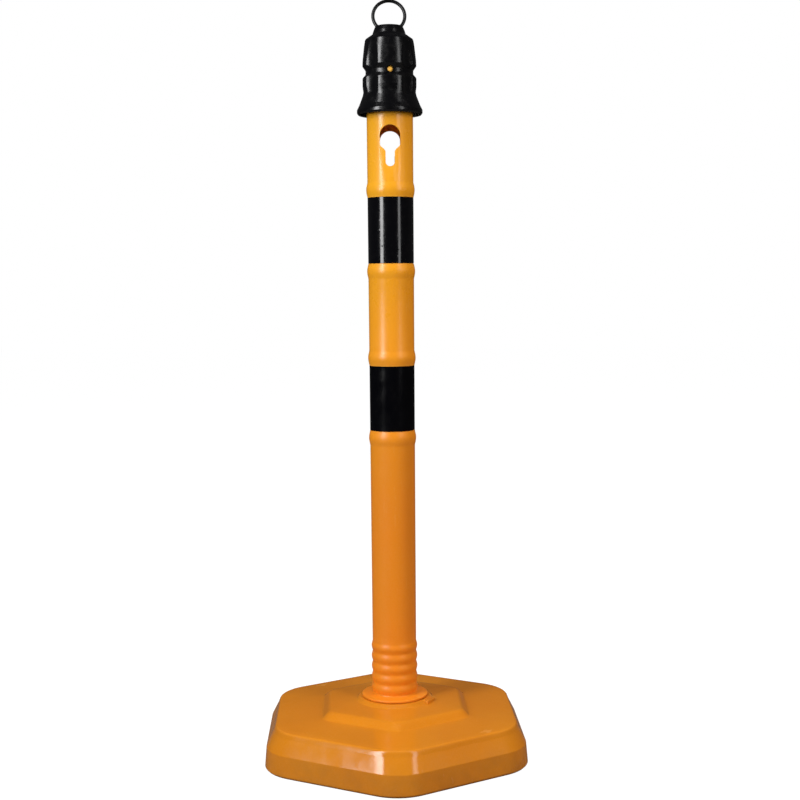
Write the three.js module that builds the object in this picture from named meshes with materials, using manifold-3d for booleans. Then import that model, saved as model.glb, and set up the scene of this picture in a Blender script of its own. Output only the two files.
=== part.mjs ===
// Delineator post: a tubular plastic post that locks into a hollow, ballast-filled hexagonal base.
// Units are millimetres, +Z is up, and the origin is the middle of the base's underside.
// The front of the post, with its keyhole, its lock button and one corner of the base, faces -Y.

import * as THREE from 'three';
import { mergeVertices } from 'three/addons/utils/BufferGeometryUtils.js';
import Module from 'manifold-3d';

const wasm = await Module();
wasm.setup();

// ---------- driving dimensions ----------
const GAP = 0.3; // between pieces that touch
const ROUND = 36; // facets round the larger turned pieces
const WALL = 4; // base shell

const BASE = {
  circumradius: 208.5, // 361 mm across the flats
  cornerRadius: 60,
  wallTop: 30, // top of the upright side wall
  rimHeight: 56.5, // outer edge of the top face
  rimCircumradius: 193,
  plateauHeight: 70,
  plateauCircumradius: 108,
  bossRadius: 50, // round seat for the post's flange
  bossHeight: 77.2,
};

const SOCKET = {
  tubeRadius: 35,
  throatRadius: 27.7, // above the ledge, close round the post's spigot
  boreRadius: 30.4, // below the ledge, clear of the lugs
  ledgeHeight: 64,
  lugs: 3,
  lugAngle: 30, // degrees round the spigot
  unlockTurn: 60, // degrees from locked to free
};

const FILLER = {
  y: 152, // behind the post, over the rear corner
  bossRadius: 26,
  bossTop: 61.5,
  bossBottom: 44,
  holeRadius: 19.3,
};

const POST = {
  bottom: 18,
  wall: 2.6,
  spigotRadius: 27.1,
  flangeRadius: 46.3,
  flangeThickness: 3.2,
  footRadius: 30.8, // tube radius just above the corrugations
  footHeight: 160,
  headRadius: 31.8, // tube radius at the keyhole
  headHeight: 860,
  shoulderHeight: 899,
  neckRadius: 29.5, // inside the cap
  top: 984,
};

const RIDGE = { count: 5, lowest: 90.5, pitch: 14.7, radius: 32.4, valley: 30.7 };
const BULGE = { heights: [444.5, 556, 675.5, 787], halfHeight: 10.5, rise: 1.7 };
const BAND = { recess: 1.05, thickness: 0.7 };
const BANDS = { band_lower: [455.5, 545.5], band_upper: [686.5, 776.5] };

const KEYHOLE = { roundRadius: 13.9, roundTop: 873, neckTop: 842, slotTop: 838, slotRadius: 6.2, slotBottom: 817.2 };

const CAP = {
  boreRadius: 29.9,
  ceiling: 987,
  top: 1008.4,
  lobes: 4,
  fluteRadius: 23.6,
  fluteFloor: 32.6, // distance of a flute's deepest line from the axis
  fluteBottom: 908.7,
};

const BUTTON = { z: 947, radius: 4.2, faceY: -31.6, flangeRadius: 6.5, flangeFront: -25.4, flangeThickness: 1.6 };
const SPRING = { thickness: 0.8, width: 8, frontY: -23.5, backY: 26.1, bendZ: 916, legTop: 953 };

const RING = { meanRadius: 21.8, section: 2.3, pivotZ: 1001.7, lean: 12 };

// ---------- materials ----------
function plastic(colour, roughness) {
  return new THREE.MeshStandardMaterial({ color: colour, roughness, metalness: 0 });
}

const YELLOW = plastic(0xe88a1a, 0.4);
const BASE_YELLOW = plastic(0xd9861f, 0.45);
const BLACK = plastic(0x0d0d0f, 0.25);
const BAND_BLACK = plastic(0x0b0b0c, 0.2);
const BUTTON_YELLOW = plastic(0xf0b040, 0.35);
const SEAL_RUBBER = plastic(0x1c1c1e, 0.7);
const SAND = new THREE.MeshStandardMaterial({ color: 0xb9a27a, roughness: 0.95, metalness: 0 });
const SPRING_STEEL = new THREE.MeshStandardMaterial({ color: 0xb8bcc0, roughness: 0.3, metalness: 1 });

// ---------- solid modelling helpers ----------
function toSolid(geometry) {
  const bare = geometry.clone();
  bare.deleteAttribute('normal');
  bare.deleteAttribute('uv');
  const merged = mergeVertices(bare, 1e-4);
  const corners = merged.index.array;
  const triangles = [];
  for (let i = 0; i < corners.length; i += 3) {
    const [a, b, c] = [corners[i], corners[i + 1], corners[i + 2]];
    if (a !== b && b !== c && c !== a) triangles.push(a, b, c);
  }
  return new wasm.Manifold(new wasm.Mesh({
    numProp: 3,
    vertProperties: new Float32Array(merged.attributes.position.array),
    triVerts: new Uint32Array(triangles),
  }));
}

function toGeometry(solid) {
  const mesh = solid.getMesh();
  const geometry = new THREE.BufferGeometry();
  geometry.setAttribute('position', new THREE.BufferAttribute(new Float32Array(mesh.vertProperties), 3));
  geometry.setIndex(new THREE.BufferAttribute(new Uint32Array(mesh.triVerts), 1));
  geometry.computeVertexNormals();
  return geometry;
}

function join(first, ...others) {
  return others.reduce((sum, other) => sum.add(other), first);
}

function cut(first, ...tools) {
  return tools.reduce((rest, tool) => rest.subtract(tool), first);
}

// A body of revolution about Z. The profile is a list of [radius, height] pairs that runs
// anticlockwise, so the outside goes up, and it either starts and ends on the axis or is closed.
function revolve(profile, facets = ROUND) {
  const points = profile.map(([radius, height]) => new THREE.Vector2(radius, height));
  const onAxis = profile[0][0] === 0 && profile[profile.length - 1][0] === 0;
  if (!onAxis) points.push(points[0].clone());
  return toSolid(new THREE.LatheGeometry(points, facets).rotateX(Math.PI / 2));
}

function cylinder(radius, bottom, top, facets = ROUND) {
  return revolve([[0, bottom], [radius, bottom], [radius, top], [0, top]], facets);
}

function box(width, depth, height, x, y, z) {
  return toSolid(new THREE.BoxGeometry(width, depth, height).translate(x, y, z));
}

// An outline in the XY plane raised from one height to another.
function prism(shape, bottom, top, curveSegments = 12) {
  const options = { depth: top - bottom, bevelEnabled: false, curveSegments };
  return toSolid(new THREE.ExtrudeGeometry(shape, options).translate(0, 0, bottom));
}

// An outline drawn as X across and Z up, run through the piece from front to back.
function prismAlongY(shape, front, back, curveSegments = 12) {
  const options = { depth: back - front, bevelEnabled: false, curveSegments };
  const geometry = new THREE.ExtrudeGeometry(shape, options);
  return toSolid(geometry.rotateX(Math.PI / 2).translate(0, back, 0));
}

// Part of a flat ring: between two radii, centred on an angle in degrees from +X.
function sector(inner, outer, centre, width, bottom, top) {
  const start = THREE.MathUtils.degToRad(centre - width / 2);
  const end = THREE.MathUtils.degToRad(centre + width / 2);
  const shape = new THREE.Shape();
  shape.absarc(0, 0, outer, start, end, false);
  shape.absarc(0, 0, inner, end, start, true);
  shape.closePath();
  return prism(shape, bottom, top, 6);
}

// A hexagon with round corners, one of them at the front. It is a circle when the corner
// radius equals the hexagon's inner radius.
function hexagonRing({ circumradius, cornerRadius, height }, pointsPerCorner = 6) {
  const centreDistance = circumradius - cornerRadius / Math.cos(Math.PI / 6);
  const ring = [];
  for (let corner = 0; corner < 6; corner += 1) {
    const direction = -Math.PI / 2 + (corner * Math.PI) / 3;
    for (let step = 0; step < pointsPerCorner; step += 1) {
      const angle = direction + (step / (pointsPerCorner - 1) - 0.5) * (Math.PI / 3);
      const x = centreDistance * Math.cos(direction) + cornerRadius * Math.cos(angle);
      const y = centreDistance * Math.sin(direction) + cornerRadius * Math.sin(angle);
      ring.push(new THREE.Vector3(x, y, height));
    }
  }
  return ring;
}

function level(height, circumradius, cornerRadius) {
  return { height, circumradius, cornerRadius };
}

function roundLevel(height, radius) {
  return level(height, radius / Math.cos(Math.PI / 6), radius);
}

// A closed solid through a stack of hexagon levels, from the lowest to the highest.
function loft(levels) {
  const rings = levels.map((one) => hexagonRing(one));
  const count = rings[0].length;
  const bottomCentre = count * rings.length;
  const topCentre = bottomCentre + 1;
  const lastRing = count * (rings.length - 1);
  const indices = [];
  for (let i = 0; i < count; i += 1) {
    const next = (i + 1) % count;
    indices.push(bottomCentre, next, i);
    indices.push(topCentre, lastRing + i, lastRing + next);
    for (let r = 0; r < rings.length - 1; r += 1) {
      const low = r * count;
      const high = low + count;
      indices.push(low + i, low + next, high + next);
      indices.push(low + i, high + next, high + i);
    }
  }
  const points = rings.flat();
  points.push(new THREE.Vector3(0, 0, levels[0].height));
  points.push(new THREE.Vector3(0, 0, levels[levels.length - 1].height));
  const geometry = new THREE.BufferGeometry().setFromPoints(points);
  geometry.setIndex(indices);
  return toSolid(geometry);
}

// ---------- base ----------
function baseOutside() {
  const { circumradius, cornerRadius, wallTop, rimHeight, rimCircumradius } = BASE;
  const { plateauHeight, plateauCircumradius, bossRadius, bossHeight } = BASE;
  return loft([
    level(0, circumradius - 2, cornerRadius),
    level(2.5, circumradius, cornerRadius),
    level(wallTop - 2, circumradius - 2, cornerRadius),
    level(wallTop + 2, circumradius - 4, cornerRadius),
    level(rimHeight - 6, rimCircumradius + 1.5, 54),
    level(rimHeight - 2, rimCircumradius - 2, 54),
    level(rimHeight, rimCircumradius - 7, 52),
    level(plateauHeight - 9, plateauCircumradius + 8, 16),
    level(plateauHeight - 8.5, plateauCircumradius + 6.5, 14),
    level(plateauHeight - 1.5, plateauCircumradius + 1, 12),
    level(plateauHeight, plateauCircumradius - 1.5, 12),
    roundLevel(plateauHeight + 2.3, bossRadius + 4),
    roundLevel(bossHeight - 1, bossRadius),
    roundLevel(bossHeight, bossRadius - 1),
  ]);
}

function baseCavity() {
  const { circumradius, cornerRadius, wallTop, rimHeight, rimCircumradius } = BASE;
  const { plateauHeight, plateauCircumradius, bossRadius } = BASE;
  const inset = WALL / Math.cos(Math.PI / 6);
  return loft([
    level(WALL, circumradius - inset - 1, cornerRadius - WALL),
    level(wallTop, circumradius - inset - 3, cornerRadius - WALL),
    level(rimHeight - WALL - 5, rimCircumradius - inset, 50),
    level(rimHeight - WALL, rimCircumradius - inset - 8, 46),
    level(plateauHeight - 8.5 - WALL, plateauCircumradius + 3, 12),
    level(plateauHeight - WALL, plateauCircumradius - inset - 1, 10),
    roundLevel(plateauHeight - WALL + 2, bossRadius),
  ]);
}

function lugDirection(index) {
  return -90 + (index * 360) / SOCKET.lugs;
}

function socketBore() {
  const { throatRadius, boreRadius, ledgeHeight, lugs, lugAngle, unlockTurn } = SOCKET;
  const throat = cylinder(throatRadius, ledgeHeight - 1, BASE.bossHeight + 1);
  const entries = [];
  for (let i = 0; i < lugs; i += 1) {
    const centre = lugDirection(i) + unlockTurn;
    entries.push(sector(throatRadius - 3, boreRadius, centre, lugAngle + 6, ledgeHeight - 1, BASE.bossHeight + 1));
  }
  return join(cylinder(boreRadius, -1, ledgeHeight), throat, ...entries);
}

function lockStops() {
  // a low moulded block beside the flange with three finger ridges along it
  const inner = POST.flangeRadius + 1;
  const block = sector(inner, inner + 9, -25, 26, BASE.plateauHeight, BASE.bossHeight - 0.5);
  const ridges = [0, 1, 2].map((i) => (
    sector(inner + 1 + 2.8 * i, inner + 2.4 + 2.8 * i, -25, 22, BASE.plateauHeight, BASE.bossHeight + 0.7)
  ));
  return join(block, ...ridges);
}

function fillerBoss() {
  return cylinder(FILLER.bossRadius, FILLER.bossBottom, FILLER.bossTop).translate([0, FILLER.y, 0]);
}

function buildBaseShell() {
  const socketTube = cylinder(SOCKET.tubeRadius, 1, BASE.plateauHeight);
  const fillHole = cylinder(FILLER.holeRadius, 30, FILLER.bossTop + 5).translate([0, FILLER.y, 0]);
  const walls = cut(baseOutside(), baseCavity());
  return cut(join(walls, socketTube, fillerBoss(), lockStops()), socketBore(), fillHole);
}

function buildBallast() {
  const { circumradius, cornerRadius, wallTop } = BASE;
  const inset = WALL / Math.cos(Math.PI / 6) + 1;
  const fill = loft([
    level(WALL + GAP, circumradius - inset - 1.5, cornerRadius - WALL),
    level(wallTop, circumradius - inset - 3.5, cornerRadius - WALL),
    level(40, circumradius - inset - 9.5, cornerRadius - 8),
  ]);
  return cut(fill, cylinder(SOCKET.tubeRadius + GAP, 0, BASE.bossHeight));
}

// ---------- filler plug ----------
function buildFillPlug() {
  const head = FILLER.bossTop + 2.5;
  const shank = FILLER.holeRadius - 0.6;
  const body = revolve([
    [0, head - 1],
    [shank - 3, head - 1],
    [shank - 3, head - 17],
    [shank - 1, head - 18],
    [shank, head - 16.5],
    [shank, head],
    [24, head],
    [24.6, head + 0.8],
    [24.6, head + 4],
    [23.8, head + 5],
    [0, head + 5],
  ]);
  const grip = box(38, 7, 8, 0, 0, head + 8.5);
  return join(body, grip).translate([0, FILLER.y, 0]);
}

function buildPlugSeal() {
  const bottom = FILLER.bossTop + GAP;
  const top = FILLER.bossTop + 2.5 - GAP;
  const middle = (bottom + top) / 2;
  const ring = revolve([
    [19.1, bottom + 0.3],
    [19.6, bottom],
    [23, bottom],
    [23.6, middle],
    [23, top],
    [19.6, top],
    [19.1, top - 0.3],
  ]);
  return ring.translate([0, FILLER.y, 0]);
}

// ---------- post ----------
function tubeRadius(height) {
  const share = (height - POST.footHeight) / (POST.headHeight - POST.footHeight);
  return POST.footRadius + (POST.headRadius - POST.footRadius) * THREE.MathUtils.clamp(share, 0, 1);
}

function corrugations() {
  const { count, lowest, pitch, radius, valley } = RIDGE;
  const profile = [];
  for (let i = 0; i < count; i += 1) {
    const crest = lowest + i * pitch;
    profile.push([valley, crest - pitch * 0.42]);
    profile.push([radius - 0.6, crest - pitch * 0.2]);
    profile.push([radius, crest]);
    profile.push([radius - 0.6, crest + pitch * 0.2]);
  }
  profile.push([valley, lowest + (count - 0.58) * pitch]);
  return profile;
}

function bulge(middle) {
  const radius = tubeRadius(middle);
  return [-1, -0.6, -0.2, 0.2, 0.6, 1].map((t) => [
    radius + BULGE.rise * Math.cos((t * Math.PI) / 2) ** 1.2,
    middle + t * BULGE.halfHeight,
  ]);
}

function recess([bottom, top]) {
  return [
    [tubeRadius(bottom) - BAND.recess, bottom - GAP],
    [tubeRadius(top) - BAND.recess, top + GAP],
  ];
}

function postProfile() {
  const flangeBottom = BASE.bossHeight + GAP;
  const flangeTop = flangeBottom + POST.flangeThickness;
  const [low, midLow, midHigh, high] = BULGE.heights;
  const outside = [
    [POST.spigotRadius - 1.5, POST.bottom],
    [POST.spigotRadius, POST.bottom + 2],
    [POST.spigotRadius, flangeBottom],
    [POST.flangeRadius - 0.8, flangeBottom],
    [POST.flangeRadius, flangeBottom + 1],
    [POST.flangeRadius - 0.6, flangeTop - 0.3],
    [POST.flangeRadius - 2, flangeTop],
    [RIDGE.valley + 2, flangeTop + 0.8],
    ...corrugations(),
    [POST.footRadius, POST.footHeight],
    ...bulge(low),
    ...recess(BANDS.band_lower),
    ...bulge(midLow),
    ...bulge(midHigh),
    ...recess(BANDS.band_upper),
    ...bulge(high),
    [POST.headRadius, POST.headHeight],
    [POST.headRadius, POST.shoulderHeight - 2],
    [POST.neckRadius, POST.shoulderHeight],
    [POST.neckRadius, POST.top - 1],
    [POST.neckRadius - 1, POST.top],
  ];
  const inside = [
    [POST.neckRadius - POST.wall, POST.top],
    [POST.neckRadius - POST.wall, POST.shoulderHeight - 3],
    [POST.headRadius - POST.wall, POST.shoulderHeight - 6],
    [POST.headRadius - POST.wall, POST.headHeight],
    [tubeRadius(BANDS.band_upper[1]) - BAND.recess - POST.wall, BANDS.band_upper[1] + 6],
    [POST.footRadius - POST.wall, POST.footHeight],
    [POST.spigotRadius - POST.wall, BASE.bossHeight],
    [POST.spigotRadius - POST.wall, POST.bottom],
  ];
  return [...outside, ...inside];
}

// The opening in both walls that a board's hook or a chain's button head drops into.
function keyholeShape() {
  const { roundRadius, roundTop, neckTop, slotTop, slotRadius, slotBottom } = KEYHOLE;
  const roundCentre = roundTop - roundRadius;
  const slotCentre = slotBottom + slotRadius;
  const shape = new THREE.Shape();
  shape.moveTo(roundRadius, neckTop + 4);
  shape.lineTo(roundRadius, roundCentre);
  shape.absarc(0, roundCentre, roundRadius, 0, Math.PI, false);
  shape.lineTo(-roundRadius, neckTop + 4);
  shape.lineTo(-slotRadius - 3, neckTop);
  shape.lineTo(-slotRadius, slotTop);
  shape.lineTo(-slotRadius, slotCentre);
  shape.absarc(0, slotCentre, slotRadius, Math.PI, 2 * Math.PI, false);
  shape.lineTo(slotRadius, slotTop);
  shape.lineTo(slotRadius + 3, neckTop);
  shape.closePath();
  return shape;
}

function pinAlongY(radius, front, back, height, facets = 24) {
  const pin = new THREE.CylinderGeometry(radius, radius, back - front, facets);
  return toSolid(pin.translate(0, (front + back) / 2, height));
}

function buildPostTube() {
  const tube = revolve(postProfile());
  const reach = POST.headRadius + 10;
  const keyhole = prismAlongY(keyholeShape(), -reach, reach);
  const buttonHole = pinAlongY(BUTTON.radius + GAP, -reach, 0, BUTTON.z);
  const lugs = [];
  const { lugAngle, ledgeHeight, boreRadius } = SOCKET;
  for (let i = 0; i < SOCKET.lugs; i += 1) {
    const outer = boreRadius - 0.6;
    lugs.push(sector(POST.spigotRadius - 1, outer, lugDirection(i), lugAngle, ledgeHeight - 8.6, ledgeHeight - 0.6));
  }
  return cut(join(tube, ...lugs), keyhole, buttonHole);
}

function buildBand([bottom, top]) {
  const inner = (height) => tubeRadius(height) - BAND.recess + GAP;
  return revolve([
    [inner(bottom), bottom],
    [inner(bottom) + BAND.thickness, bottom],
    [inner(top) + BAND.thickness, top],
    [inner(top), top],
  ]);
}

// ---------- lock button and its spring ----------
function buildSnapButton() {
  const { z, radius, faceY, flangeRadius, flangeFront, flangeThickness } = BUTTON;
  const profile = [
    [0, faceY],
    [radius * 0.55, faceY + 0.25],
    [radius * 0.88, faceY + 0.8],
    [radius, faceY + 1.6],
    [radius, flangeFront],
    [flangeRadius, flangeFront],
    [flangeRadius, flangeFront + flangeThickness],
    [0, flangeFront + flangeThickness],
  ];
  // the profile is turned about Z first and then laid back along Y
  return revolve(profile, 24).rotate([-90, 0, 0]).translate([0, 0, z]);
}

function buildButtonSpring() {
  // a hairpin of flat strip: one leg behind the button, the other against the far wall
  const { thickness, width, frontY, backY, bendZ, legTop } = SPRING;
  const bendRadius = (backY - frontY) / 2;
  const bendY = (frontY + backY) / 2;
  const shape = new THREE.Shape();
  shape.moveTo(frontY, legTop);
  shape.lineTo(frontY, bendZ);
  shape.absarc(bendY, bendZ, bendRadius, Math.PI, 0, false);
  shape.lineTo(backY, legTop);
  shape.lineTo(backY - thickness, legTop);
  shape.lineTo(backY - thickness, bendZ);
  shape.absarc(bendY, bendZ, bendRadius - thickness, 0, Math.PI, true);
  shape.lineTo(frontY + thickness, legTop);
  shape.closePath();
  const strip = new THREE.ExtrudeGeometry(shape, { depth: width, bevelEnabled: false, curveSegments: 16 });
  strip.rotateY(Math.PI / 2).rotateX(Math.PI / 2).translate(-width / 2, 0, 0);
  return toSolid(strip);
}

// ---------- cap and ring ----------
function capProfile() {
  return [
    [0, CAP.ceiling],
    [CAP.boreRadius, CAP.ceiling],
    [CAP.boreRadius, 901.5],
    [37.4, 901.5],
    [41, 896.5],
    [41.7, 889.4],
    [43.6, 888.8],
    [44.9, 891],
    [45, 895.2],
    [43.3, 899.3],
    [40.3, 904.7],
    [37.4, 912.8],
    [35.8, 918.6],
    [36.2, 923.8],
    [36.8, 929],
    [36.8, 937.2],
    [35.4, 940],
    [33.3, 942.8],
    [32.7, 946.2],
    [33, 948.6],
    [34.4, 950.8],
    [36.2, 953.4],
    [36.8, 956],
    [36.6, 962],
    [35.6, 972],
    [34.6, 980],
    [33.7, 985.5],
    [33, 988.4],
    [31.9, 991],
    [28.7, 993.6],
    [24.4, 996.3],
    [22.4, 998.8],
    [21.6, 1001.6],
    [20.5, 1004.3],
    [19.4, 1007.2],
    [18.4, CAP.top],
    [0, CAP.top],
  ];
}

// Upright hollows between the grip lobes, which run out where the crown turns in.
function flutes() {
  const { lobes, fluteRadius, fluteFloor, fluteBottom, top } = CAP;
  const tools = [];
  for (let i = 0; i < lobes; i += 1) {
    const direction = -90 + (360 / lobes) * (i + 0.5);
    const tool = cylinder(fluteRadius, fluteBottom, top + 5, 64).translate([fluteFloor + fluteRadius, 0, 0]);
    tools.push(tool.rotate([0, 0, direction]));
  }
  return tools;
}

// The ring stands in the XZ plane and turns about a line along X through its own lowest section.
function buildTopRing() {
  const torus = new THREE.TorusGeometry(RING.meanRadius, RING.section, 10, 48);
  torus.rotateX(Math.PI / 2).translate(0, 0, RING.meanRadius);
  torus.rotateX(THREE.MathUtils.degToRad(-RING.lean)).translate(0, 0, RING.pivotZ);
  return toSolid(torus);
}

// The curved passage that holds the ring: a ring-shaped disc, trimmed to the fan that the
// ring sweeps as it rocks.
function ringTunnel() {
  const clearance = 0.5;
  const half = RING.section + clearance;
  const centre = RING.pivotZ + RING.meanRadius;
  const disc = new THREE.Shape();
  disc.absarc(0, centre, RING.meanRadius + half, 0, 2 * Math.PI, false);
  const hole = new THREE.Path();
  hole.absarc(0, centre, RING.meanRadius - half, 0, 2 * Math.PI, true);
  disc.holes.push(hole);
  const fanHeight = 14;
  const spread = fanHeight * Math.tan(THREE.MathUtils.degToRad(RING.lean));
  const fan = new THREE.Shape();
  fan.moveTo(-half, RING.pivotZ - half - 1);
  fan.lineTo(-half, RING.pivotZ);
  fan.lineTo(-half - spread, RING.pivotZ + fanHeight);
  fan.lineTo(half + spread, RING.pivotZ + fanHeight);
  fan.lineTo(half, RING.pivotZ);
  fan.lineTo(half, RING.pivotZ - half - 1);
  fan.closePath();
  const reach = 30;
  const sweep = prismAlongY(fan, -reach, reach).rotate([0, 0, 90]);
  return prismAlongY(disc, -10, 10, 20).intersect(sweep);
}

function buildTopCap() {
  const buttonWindow = pinAlongY(BUTTON.radius + 0.5, -50, -20, BUTTON.z);
  return cut(revolve(capProfile(), 40), ...flutes(), ringTunnel(), buttonWindow);
}

// ---------- assembly ----------
const assembly = new THREE.Group();
assembly.name = 'delineator_post';

function addPart(name, solid, material) {
  const mesh = new THREE.Mesh(toGeometry(solid), material);
  mesh.name = name;
  assembly.add(mesh);
}

addPart('base_shell', buildBaseShell(), BASE_YELLOW);
addPart('sand_ballast', buildBallast(), SAND);
addPart('fill_plug', buildFillPlug(), BLACK);
addPart('fill_plug_seal', buildPlugSeal(), SEAL_RUBBER);
addPart('post_tube', buildPostTube(), YELLOW);
for (const [name, span] of Object.entries(BANDS)) addPart(name, buildBand(span), BAND_BLACK);
addPart('snap_button', buildSnapButton(), BUTTON_YELLOW);
addPart('button_spring', buildButtonSpring(), SPRING_STEEL);
addPart('top_cap', buildTopCap(), BLACK);
addPart('top_ring', buildTopRing(), BLACK);

export default assembly;
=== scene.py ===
import math

import bmesh
import bpy
from mathutils import Matrix, Vector, noise


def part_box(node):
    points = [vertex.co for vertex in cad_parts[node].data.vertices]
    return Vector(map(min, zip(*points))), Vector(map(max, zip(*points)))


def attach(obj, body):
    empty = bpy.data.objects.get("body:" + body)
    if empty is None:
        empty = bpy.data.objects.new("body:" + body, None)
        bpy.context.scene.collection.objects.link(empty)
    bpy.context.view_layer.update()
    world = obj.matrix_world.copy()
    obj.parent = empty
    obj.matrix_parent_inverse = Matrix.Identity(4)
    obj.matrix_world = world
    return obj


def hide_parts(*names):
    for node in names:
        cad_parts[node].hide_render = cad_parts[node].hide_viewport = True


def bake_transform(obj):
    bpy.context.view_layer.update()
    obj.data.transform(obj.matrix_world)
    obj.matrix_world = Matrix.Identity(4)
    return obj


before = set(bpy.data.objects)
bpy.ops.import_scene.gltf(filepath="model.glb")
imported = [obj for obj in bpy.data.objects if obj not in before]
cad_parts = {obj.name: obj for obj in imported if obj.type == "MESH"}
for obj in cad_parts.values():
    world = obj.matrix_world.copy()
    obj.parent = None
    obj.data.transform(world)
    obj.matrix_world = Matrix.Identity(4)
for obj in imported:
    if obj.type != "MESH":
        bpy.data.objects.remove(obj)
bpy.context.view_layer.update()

MM = 0.001
TAU = 2 * math.pi


# ---------------------------------------------------------------------------
# camera
# ---------------------------------------------------------------------------
CAMERA_DISTANCE = 1.898
CAMERA_HEIGHT = 0.658
CAMERA_AZIMUTH = -1.535
CAMERA_TURN = -0.325     # the post stands a little left of the middle of the view
CAMERA_PITCH = -4.855
CAMERA_ROLL = -0.477
CAMERA_LENS = 61.4


def add_camera():
    azimuth = math.radians(CAMERA_AZIMUTH)
    data = bpy.data.cameras.new("camera")
    data.lens = CAMERA_LENS
    data.sensor_width = 36
    data.clip_end = 60
    camera = bpy.data.objects.new("camera", data)
    bpy.context.scene.collection.objects.link(camera)
    across = CAMERA_DISTANCE * math.sin(azimuth)
    back = CAMERA_DISTANCE * math.cos(azimuth)
    camera.location = (across, -back, CAMERA_HEIGHT)
    turn = Matrix.Rotation(azimuth + math.radians(CAMERA_TURN), 4, "Z")
    tilt = Matrix.Rotation(math.radians(90 + CAMERA_PITCH), 4, "X")
    roll = Matrix.Rotation(math.radians(CAMERA_ROLL), 4, "Z")
    camera.matrix_world = Matrix.Translation(camera.location) @ turn @ tilt @ roll
    bpy.context.scene.camera = camera


add_camera()


# ---------------------------------------------------------------------------
# mesh helpers, in millimetres; new_piece() turns a finished mesh into metres
# ---------------------------------------------------------------------------
def new_piece(name, bm, sharp_angle=32):
    """Makes a named object of a bmesh in millimetres, smooth but for edges above the sharp angle."""
    bmesh.ops.recalc_face_normals(bm, faces=bm.faces)
    limit = math.radians(sharp_angle)
    for face in bm.faces:
        face.smooth = True
    for edge in bm.edges:
        edge.smooth = not (edge.is_manifold and edge.calc_face_angle(0) > limit)
    bm.transform(Matrix.Scale(MM, 4))
    mesh = bpy.data.meshes.new(name)
    bm.to_mesh(mesh)
    bm.free()
    piece = bpy.data.objects.new(name, mesh)
    bpy.context.scene.collection.objects.link(piece)
    return piece


def rounded(points, steps=5):
    """A polyline whose corners are rounded. Each point is its coordinates and its corner's radius."""
    out = []
    last = len(points) - 1
    for i, (*place, radius) in enumerate(points):
        here = Vector(place)
        if radius <= 0 or i in (0, last):
            out.append(tuple(here))
            continue
        before = Vector(points[i - 1][:-1]) - here
        after = Vector(points[i + 1][:-1]) - here
        half = before.angle(after) / 2
        reach = min(radius / math.tan(half), before.length * 0.49, after.length * 0.49)
        start = here + before.normalized() * reach
        end = here + after.normalized() * reach
        for step in range(steps + 1):
            t = step / steps
            out.append(tuple(start.lerp(here, t).lerp(here.lerp(end, t), t)))
    return out


def lathe(profile, segments=128, closed=True):
    """Turns (radius, height) points about Z. A point on the axis becomes one vertex."""
    bm = bmesh.new()
    rings = []
    for radius, height in profile:
        if radius < 1e-6:
            rings.append([bm.verts.new((0, 0, height))])
            continue
        angles = [TAU * i / segments for i in range(segments)]
        rings.append([bm.verts.new((radius * math.cos(a), radius * math.sin(a), height)) for a in angles])
    bridge(bm, rings, closed)
    return bm


def bridge(bm, rings, closed):
    """Joins a list of vertex rings with faces. A ring of one vertex closes as a fan."""
    pairs = list(zip(rings, rings[1:]))
    if closed:
        pairs.append((rings[-1], rings[0]))
    for low, high in pairs:
        count = max(len(low), len(high))
        if count == 1:
            continue
        for i in range(count):
            j = (i + 1) % count
            corners = [low[i % len(low)], low[j % len(low)], high[j % len(high)], high[i % len(high)]]
            unique = list(dict.fromkeys(corners))
            if len(unique) > 2:
                bm.faces.new(unique)


def extrude_outline(outline, low, high):
    """A closed prism: an XY outline between two heights."""
    bm = bmesh.new()
    bottom = [bm.verts.new((x, y, low)) for x, y in outline]
    top = [bm.verts.new((x, y, high)) for x, y in outline]
    bridge(bm, [bottom, top], closed=False)
    bm.faces.new(bottom[::-1])
    bm.faces.new(top)
    return bm


def arc(cx, cy, radius, start, end, steps):
    """Points on an arc, with angles in degrees."""
    return [
        (cx + radius * math.cos(math.radians(start + (end - start) * i / steps)),
         cy + radius * math.sin(math.radians(start + (end - start) * i / steps)))
        for i in range(steps + 1)
    ]


def joined(*parts):
    """One bmesh of several, each left a closed shell of its own."""
    whole = bmesh.new()
    for part in parts:
        mesh = bpy.data.meshes.new("part")
        part.to_mesh(mesh)
        part.free()
        whole.from_mesh(mesh)
        bpy.data.meshes.remove(mesh)
    return whole


def boolean(piece_bm, tool_bms, operation="DIFFERENCE", hollow=False):
    """Cuts tools from a bmesh, or fuses them to it, and returns the result. A hollow piece holds
    a closed space, whose faces point inwards and are left so."""
    temporary = []

    def as_object(bm, keep=False):
        if not keep:
            bmesh.ops.recalc_face_normals(bm, faces=bm.faces)
        mesh = bpy.data.meshes.new("temporary")
        bm.to_mesh(mesh)
        bm.free()
        made = bpy.data.objects.new("temporary", mesh)
        bpy.context.scene.collection.objects.link(made)
        temporary.append(made)
        return made

    target = as_object(piece_bm, hollow)
    for tool in tool_bms:
        modifier = target.modifiers.new("cut", "BOOLEAN")
        modifier.operation = operation
        modifier.solver = "EXACT"
        modifier.object = as_object(tool)
    result = bmesh.new()
    result.from_object(target, bpy.context.evaluated_depsgraph_get())
    for made in temporary:
        mesh = made.data
        bpy.data.objects.remove(made)
        bpy.data.meshes.remove(mesh)
    return result


def soften(bm, width, angle=50, segments=2, inside=None):
    """Bevels the edges above an angle, or only those that the test picks."""
    limit = math.radians(angle)
    edges = [
        edge for edge in bm.edges
        if edge.is_manifold and edge.calc_face_angle(0) > limit and (inside is None or inside(edge))
    ]
    bmesh.ops.bevel(
        bm, geom=edges, offset=width, segments=segments, profile=0.5, affect="EDGES", clamp_overlap=True
    )
    return bm


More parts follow.
